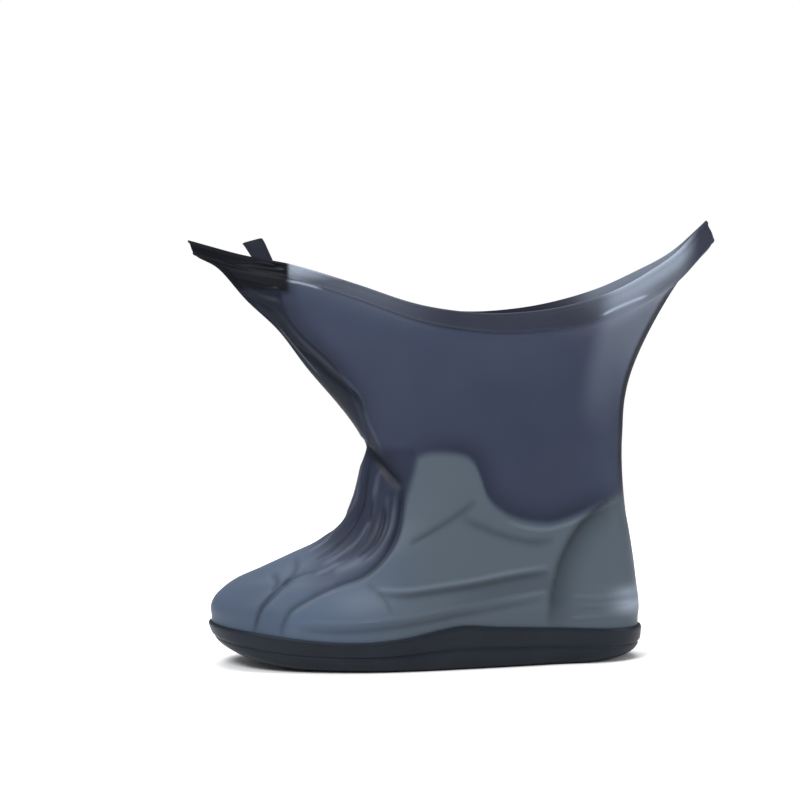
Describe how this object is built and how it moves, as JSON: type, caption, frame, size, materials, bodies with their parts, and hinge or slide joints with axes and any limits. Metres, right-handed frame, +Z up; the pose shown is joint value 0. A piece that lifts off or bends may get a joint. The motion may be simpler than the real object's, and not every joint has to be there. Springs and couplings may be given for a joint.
{
  "type": "shoe cover",
  "caption": "Stretch elastomer shoe cover with a moulded sole, standing filled out with its leg drawn up and its mouth pulled open to the front and back.",
  "frame": {"origin": "on the rest face of the sole, half way between toe and heel", "axes": "+Z up, -X towards the toe, +X towards the heel, -Y the outer side of the foot"},
  "size_m": [0.3508, 0.1043, 0.291],
  "materials": {
    "sole": "moulded, satin",
    "film": "dip moulded, thin, slightly translucent, soft sheen",
    "band": "moulded, satin"
  },
  "bodies": {
    "root": {"outsole": "sole", "upper": "film", "rim_band": "band"}
  },
  "joints": []
}
